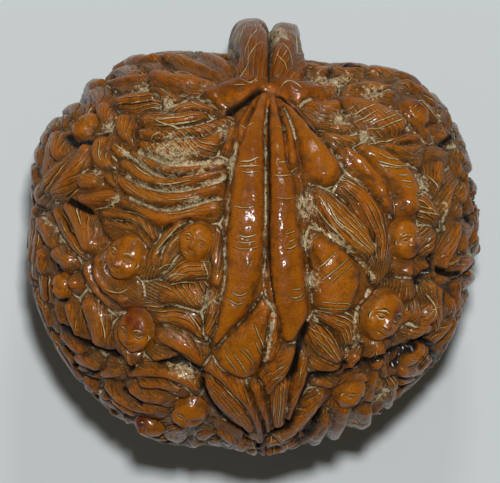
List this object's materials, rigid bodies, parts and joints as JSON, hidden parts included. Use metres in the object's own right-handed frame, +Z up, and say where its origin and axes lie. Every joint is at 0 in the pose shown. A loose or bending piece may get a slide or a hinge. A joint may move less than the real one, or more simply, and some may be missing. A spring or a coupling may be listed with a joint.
{
  "type": "carved walnut",
  "caption": "Whole walnut carved all over with small figures, robes and leaves in relief, polished dark amber, resting on a small worn flat.",
  "frame": {"origin": "under the middle of the nut's box, on the surface that it lies on", "axes": "+X across the seam along the nut's longest extent, +Y towards the two knobs at its tip, +Z up"},
  "size_m": [0.0454, 0.0438, 0.0403],
  "materials": {
    "polished_nutshell": "dark amber nutshell polished by handling, pale dust in its cuts"
  },
  "bodies": {
    "root": {"carved_walnut": "polished_nutshell"}
  },
  "joints": []
}
